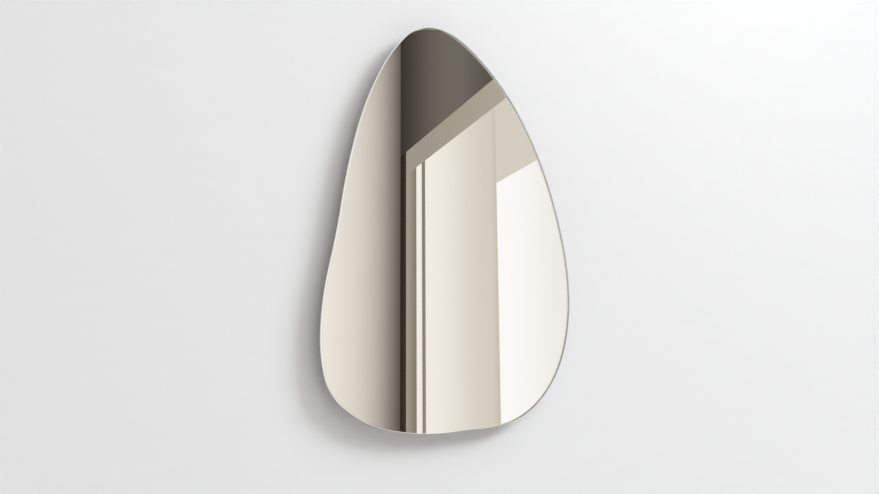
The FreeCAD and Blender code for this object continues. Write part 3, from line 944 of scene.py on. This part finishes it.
zinc_plate = zinc()
pan_profile = [(0, PAN_HEAD_TOP), (0.0012, 0.00236), (0.0021, 0.00216), (0.0028, 0.0018), (0.0032, 0.0013),
               (0.00345, 0.0007), (0.0035, 0.00025), (0.0034, 0.0), (0.0017, 0.0), (0.0017, -0.0018),
               (CORE, -0.0024), (CORE, -0.008), (CORE * 0.5, -0.0098), (0.0001, -0.0109), (0, -0.011)]
pan_screw = screw("pan_screw", pan_profile, PAN_HEAD_TOP, -0.0024, -0.0105)
screw_set("pan_head_screws", "hanging_rail_screws", pan_screw,
          [(x, RAIL_FACE, RAIL_SCREW_HEIGHT) for x in RAIL_SCREWS], zinc_plate)
sunk_profile = [(0, 0.0), (0.0033, 0.0), (0.0035, -0.0001), (0.0035, -0.0003), (0.0017, -0.002),
                (0.0017, -0.0034), (CORE, -0.004), (CORE, -0.0112), (CORE * 0.5, -0.0128), (0.0001, -0.0139),
                (0, -0.014)]
sunk_screw = screw("sunk_screw", sunk_profile, 0.0, -0.004, -0.0135)
screw_set("countersunk_screws", "spacer_screws", sunk_screw,
          [(x, SUNK_HEAD_TOP, SPACER_HEIGHT) for x in (SPACER_LEFT, SPACER_RIGHT)], zinc_plate)

# %% [markdown]
# Felt pads sit in the spacers' recesses and rest against the wall. Felt has no weave: it is a mat of
# pressed fibres, so its rim is soft and slightly uneven, and its face is faintly hollowed where the screw
# lies behind. The pad is a turned body whose points are moved a tenth of a millimetre by noise. Its
# material mixes fibres that run both ways, and a little sheen stands for the hairs that catch light at the
# rim.

# %% Felt pads
PAD_RADIUS = 0.0165
PAD_THICKNESS = 0.003
PAD_STEPS = 72
PAD_SOFT = 0.0008                       # radius of the soft rim
RIM_STEPS = 6
ROUGH_FELT = 0.00014                    # how far the rim is pulled in, at most
FELT_LUMPS = 420.0                      # lumps for each metre
FELT_SINK = 0.00005                     # how deep the face is hollowed, at most


def felt():
    material, tree, shader = new_material("pressed_felt", Roughness=0.95, Sheen_Weight=0.35,
                                          Sheen_Roughness=0.5)
    one_way = grain(tree, 1.0, 3.0, 0.7, stretch=(3600, 900, 500))
    other_way = grain(tree, 1.0, 3.0, 0.7, stretch=(500, 900, 3600))
    mat = math_node(tree, "MAXIMUM", one_way, other_way)
    patch = grain(tree, 240.0)
    dark = blend_colours(tree, patch, (0.055, 0.055, 0.058), (0.095, 0.095, 0.10))
    pale_fibres = spread(tree, mat, 0, 1, 0.45, 0.75)
    wire(tree, shader, Base_Color=blend_colours(tree, pale_fibres, dark, (0.24, 0.24, 0.245)),
         Normal=bump(tree, mat, 0.00025))
    return material


def lumps(place):
    """Smooth noise from 0 to 1 at a place."""
    return 0.5 + 0.5 * noise.noise(place)


pressed_felt = felt()


def felt_pad(name, node, x):
    """A round pad with a soft, uneven rim."""
    quarter = [math.pi / 2 * step / RIM_STEPS for step in range(RIM_STEPS + 1)]
    rim = [(PAD_SOFT * (1 - math.sin(angle)), PAD_SOFT * (1 - math.cos(angle))) for angle in quarter]
    profile = [(0, -PAD_THICKNESS)]
    profile += [(PAD_RADIUS * share, -PAD_THICKNESS) for share in (0.3, 0.6, 0.85)]
    profile += [(PAD_RADIUS - inset, -PAD_THICKNESS + rise) for inset, rise in rim]
    profile += [(PAD_RADIUS - rise, -inset) for inset, rise in rim]
    profile += [(PAD_RADIUS * share, 0.0) for share in (0.85, 0.7, 0.55, 0.4, 0.25, 0.12)]
    profile.append((0, 0.0))
    points, faces = turned(profile, PAD_STEPS)
    middle = Vector((x, 0, SPACER_HEIGHT))
    shaped = []
    for point in points:
        spot = Vector(point)
        away = math.hypot(spot.x, spot.z)
        lump = lumps((spot + middle) * FELT_LUMPS)
        pull = 1 - ROUGH_FELT * lump / max(away, 0.004) * min(1.0, away / PAD_RADIUS) ** 4
        sink = -FELT_SINK * lump if spot.y > -0.0002 else 0.0
        shaped.append((spot.x * pull + x, spot.y + sink, spot.z * pull + SPACER_HEIGHT))
    pad = make_object(name, shaped, faces)
    outwards(pad)
    round_off(pad, 60)
    pad.data.materials.append(pressed_felt)
    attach(pad, "mirror")
    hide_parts(node)
    print(name, "at", x, "m, faces", len(faces))


felt_pad("felt_pad_left", "spacer_pad_left", SPACER_LEFT)
felt_pad("felt_pad_right", "spacer_pad_right", SPACER_RIGHT)

# %% [markdown]
# Foam tape grips at once and holds the pane while the adhesive beads cure. Pressed between pane and board,
# foam bulges a little along its edges, and adhesive, laid from a nozzle, ends up with edges that wander.
# Both are strips: rings of points across the strip, placed one after another along it, with the half width
# given for each place. So one helper makes all seven.

# %% Strips
BOND_FRONT, BOND_BACK = -0.0215, -0.0205
EDGE_RINGS = 5


def strip_piece(name, node, middle, degrees, length, half_width, bulge, stations, material):
    """A pressed strip along a slanted line. half_width gives half its width at a share of its length."""
    angle = math.radians(degrees)
    along = Vector((math.cos(angle), 0, math.sin(angle)))
    across = Vector((-math.sin(angle), 0, math.cos(angle)))
    ring = [(1, -1 + 2 * k / (EDGE_RINGS - 1)) for k in range(EDGE_RINGS)]
    ring += [(-1, 1 - 2 * k / (EDGE_RINGS - 1)) for k in range(EDGE_RINGS)]
    centre = Vector((middle[0], 0, middle[1]))
    depth, half_depth = (BOND_FRONT + BOND_BACK) / 2, (BOND_BACK - BOND_FRONT) / 2
    points = []
    for share in stations:
        base = centre + along * (share - 0.5) * length
        for side, level in ring:
            half = half_width(share, side)
            spot = base + across * side * max(half - bulge * level * level, half * 0.2)
            points.append((spot.x, depth + level * half_depth, spot.z))
    count = len(ring)
    faces = [tuple(range(count)), tuple(range(len(points) - count, len(points)))]
    for step in range(len(stations) - 1):
        low, high = step * count, (step + 1) * count
        faces += [(low + k, low + (k + 1) % count, high + (k + 1) % count, high + k) for k in range(count)]
    piece = make_object(name, points, faces)
    outwards(piece)
    round_off(piece, 50)
    piece.data.materials.append(material)
    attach(piece, "mirror")
    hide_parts(node)
    print(name, len(faces), "faces")
    return piece


# %% [markdown]
# Foam tape is a closed-cell foam: a mat of tiny bubbles, of which the cut ones show as pores. Voronoi cells
# a third of a millimetre across make them, as bumps and as painted shade: each pore is coloured darker for
# the shade inside it. Its edges were cut straight and wander only by a tenth of a millimetre.

# %% Foam tapes
TAPE_HALF = 0.010
TAPE_WANDER = 0.00012                   # the most that the half width falls short
TAPE_WAVES = 9                          # ups and downs along one edge
TAPE_BULGE = 0.00022
TAPE_STEPS = 48
TAPES = {                               # node: middle sideways and up, slant in degrees, length
    "tape_top": ((-0.0314, 0.170), 0.0, 0.110),
    "tape_left": ((-0.16518, -0.18718), 81.58, 0.1879),
    "tape_bottom": ((-0.00222, -0.37606), 4.64, 0.0786),
    "tape_right": ((0.17232, -0.10952), 101.32, 0.1564),
}


def foam():
    material, tree, shader = new_material("closed_cell_foam", Roughness=0.85)
    cells = add(tree, "TexVoronoi")
    cells.inputs["Scale"].default_value = 3200.0
    link(tree, object_place(tree), cells.inputs["Vector"])
    pores = spread(tree, cells.outputs["Distance"], 0, 1, 0.05, 0.5)
    # painted shade: the grey at each pore stands for the shade inside the cut bubble
    wire(tree, shader, Base_Color=blend_colours(tree, pores, (0.52, 0.52, 0.50), (0.80, 0.80, 0.78)),
         Normal=bump(tree, pores, 0.0001))
    return material


closed_cell_foam = foam()
tape_stations = [step / TAPE_STEPS for step in range(TAPE_STEPS + 1)]
for node, (middle, slant, length) in TAPES.items():
    def tape_half(share, side, seed=middle[0] * 50):
        return TAPE_HALF - TAPE_WANDER * lumps(Vector((share * TAPE_WAVES, side * 4, seed)))
    tape = strip_piece("foam_" + node, node, middle, slant, length, tape_half, TAPE_BULGE, tape_stations,
                       closed_cell_foam)

# %% [markdown]
# Mirror adhesive comes out of its nozzle as a round bead, and the pane presses it flat. So its ends are
# round, its edges wander by a millimetre or two, and it cures to a cream, slightly glossy rubber with faint
# swirls. Near the ends the stations lie closer together, so that the rounding stays smooth.

# %% Adhesive beads
BEAD_HALF = 0.008
BEAD_LENGTH = 0.380
BEAD_MIDDLE = -0.130
BEAD_WANDER = 0.0016
BEAD_WAVES = 26
BEAD_BULGE = 0.0003
BEAD_STEPS = 90
END_STEPS = 9
BEADS = {"left": -0.075, "centre": 0.0, "right": 0.075}


def cured_adhesive():
    material, tree, shader = new_material("cured_adhesive")
    swirl = grain(tree, 1.0, 2.0, stretch=(160, 160, 40))
    wire(tree, shader, Base_Color=blend_colours(tree, swirl, (0.56, 0.53, 0.45), (0.66, 0.635, 0.56)),
         Roughness=spread(tree, swirl, 0.30, 0.45), Normal=bump(tree, swirl, 0.0001))
    return material


adhesive = cured_adhesive()
round_end = BEAD_HALF / BEAD_LENGTH
end_shares = [round_end * (1 - math.cos(math.pi / 2 * (step + 0.5) / END_STEPS)) for step in range(END_STEPS)]
bead_stations = list(end_shares)
bead_stations += [round_end + (1 - 2 * round_end) * step / BEAD_STEPS for step in range(BEAD_STEPS + 1)]
bead_stations += [1 - share for share in reversed(end_shares)]
for side_name, x in BEADS.items():
    def bead_half(share, side, seed=x * 60):
        from_end = min(share, 1 - share) * BEAD_LENGTH
        rounding = math.sqrt(max(0.0, 1 - (1 - min(1.0, from_end / BEAD_HALF)) ** 2))
        wander = BEAD_WANDER * lumps(Vector((share * BEAD_WAVES, side * 3, seed)))
        return (BEAD_HALF - wander * rounding) * rounding
    strip_piece("bead_" + side_name, "adhesive_bead_" + side_name, (x, BEAD_MIDDLE), 90, BEAD_LENGTH,
                bead_half, BEAD_BULGE, bead_stations, adhesive)
